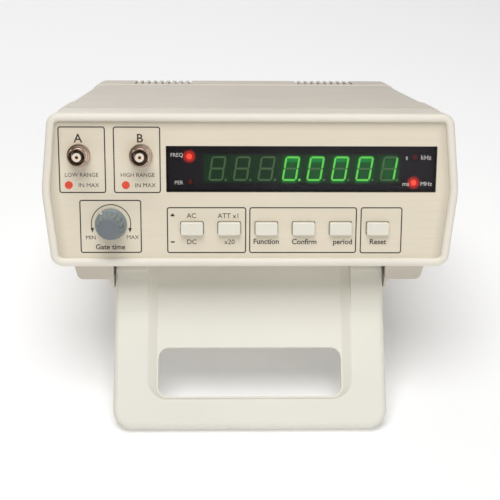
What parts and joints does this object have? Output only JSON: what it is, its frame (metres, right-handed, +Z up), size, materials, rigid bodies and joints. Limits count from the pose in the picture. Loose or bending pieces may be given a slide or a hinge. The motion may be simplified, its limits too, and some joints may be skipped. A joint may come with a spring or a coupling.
{
  "type": "frequency counter",
  "caption": "Bench frequency counter with a bulged case on a folding handle stand, panel sockets, fluted knob, push buttons and a lit seven-segment display.",
  "frame": {"origin": "middle of the bounding box's base, on the surface that the instrument stands on", "axes": "+Z up; +Y to the back; +X to the right as seen from the front; the case is tilted 16.69 degrees nose up about X, standing on its handle and rear feet"},
  "size_m": [0.2496, 0.3296, 0.185],
  "materials": {
    "shell_plastic": "fine moulded grain, warm grey",
    "bezel_plastic": "smooth satin, warm off-white",
    "panel_plastic": "satin painted film with printed lines",
    "window_acrylic": "smoked clear acrylic",
    "steel": "zinc plated",
    "nickel": "bright nickel plate",
    "rubber": "matt black",
    "insulator": "white waxy",
    "gold": "gold plated",
    "knob_plastic": "satin blue-grey",
    "cap_plastic": "soft gloss off-white",
    "black_plastic": "black",
    "digit_plastic": "dark green face with seven-segment bars",
    "lamp_red": "red diffused",
    "board": "green solder resist",
    "cable_plastic": "flexible PVC",
    "copper": "varnished windings under tape",
    "capacitor_sleeve": "shrink sleeve",
    "aluminium": "natural",
    "fuse_glass": "clear"
  },
  "bodies": {
    "case": {"top_cover": "shell_plastic", "bottom_cover": "shell_plastic", "front_bezel": "bezel_plastic", "front_panel": "panel_plastic", "rear_panel": "panel_plastic", "display_window": "window_acrylic", "hinge_washers": "steel", "case_screws": "steel", "pot_nut": "steel", "display_screws": "steel", "board_screws": "steel", "transformer_core": "steel", "socket_shells": "nickel", "socket_nuts": "nickel", "socket_washers": "nickel", "inlet_pins": "nickel", "pot_body": "nickel", "input_can": "nickel", "oscillator_can": "nickel", "rubber_feet": "rubber", "socket_insulators": "insulator", "socket_contacts": "gold", "latch_switches": "black_plastic", "tact_switches": "black_plastic", "counter_chip": "black_plastic", "logic_chips": "black_plastic", "rectifier": "black_plastic", "regulator": "black_plastic", "mains_inlet": "black_plastic", "rocker_frame": "black_plastic", "digit_1": "digit_plastic", "digit_2": "digit_plastic", "digit_3": "digit_plastic", "digit_4": "digit_plastic", "digit_5": "digit_plastic", "digit_6": "digit_plastic", "digit_7": "digit_plastic", "digit_8": "digit_plastic", "indicator_lamps": "lamp_red", "display_board": "board", "main_board": "board", "ribbon_cable": "cable_plastic", "coax_leads": "cable_plastic", "mains_leads": "cable_plastic", "transformer_windings": "copper", "filter_capacitors": "capacitor_sleeve", "heat_sink": "aluminium"},
    "handle": {"handle": "bezel_plastic", "hinge_pins": "steel"},
    "gate_knob": {"gate_time_knob": "knob_plastic", "pot_shaft": "steel"},
    "drawer": {"fuse_drawer": "black_plastic", "fuse": "fuse_glass"},
    "rocker": {"power_rocker": "black_plastic"},
    "ac_dc_key": {"ac_dc_button": "cap_plastic"},
    "attenuator_key": {"attenuator_button": "cap_plastic"},
    "function_key": {"function_button": "cap_plastic"},
    "confirm_key": {"confirm_button": "cap_plastic"},
    "period_key": {"period_button": "cap_plastic"},
    "reset_key": {"reset_button": "cap_plastic"}
  },
  "joints": [
    {"name": "handle_swing", "type": "hinge", "parent": "case", "child": "handle", "pos_m": [0, -0.09494, 0.07534], "axis": [1, 0, 0], "range_deg": [-64, 116]},
    {"name": "knob_turn", "type": "hinge", "parent": "case", "child": "gate_knob", "pos_m": [-0.084, -0.11778, 0.12103], "axis": [0, -0.9579, 0.2872], "range_deg": [-190, 110]},
    {"name": "rocker_tip", "type": "hinge", "parent": "case", "child": "rocker", "pos_m": [-0.04, 0.14476, 0.06351], "axis": [1, 0, 0], "range_deg": [-16, 0]},
    {"name": "fuse_drawer_slide", "type": "slide", "parent": "case", "child": "drawer", "axis": [0, 0.9579, -0.2872], "range_m": [0, 0.014]},
    {"name": "ac_dc_press", "type": "slide", "parent": "case", "child": "ac_dc_key", "axis": [0, 0.9579, -0.2872], "range_m": [0, 0.003], "stiffness_N_per_m": 300, "springref_m": -0.002},
    {"name": "attenuator_press", "type": "slide", "parent": "case", "child": "attenuator_key", "axis": [0, 0.9579, -0.2872], "range_m": [0, 0.003], "stiffness_N_per_m": 300, "springref_m": -0.002},
    {"name": "function_press", "type": "slide", "parent": "case", "child": "function_key", "axis": [0, 0.9579, -0.2872], "range_m": [0, 0.001], "stiffness_N_per_m": 900, "springref_m": -0.001},
    {"name": "confirm_press", "type": "slide", "parent": "case", "child": "confirm_key", "axis": [0, 0.9579, -0.2872], "range_m": [0, 0.001], "stiffness_N_per_m": 900, "springref_m": -0.001},
    {"name": "period_press", "type": "slide", "parent": "case", "child": "period_key", "axis": [0, 0.9579, -0.2872], "range_m": [0, 0.001], "stiffness_N_per_m": 900, "springref_m": -0.001},
    {"name": "reset_press", "type": "slide", "parent": "case", "child": "reset_key", "axis": [0, 0.9579, -0.2872], "range_m": [0, 0.001], "stiffness_N_per_m": 900, "springref_m": -0.001}
  ]
}
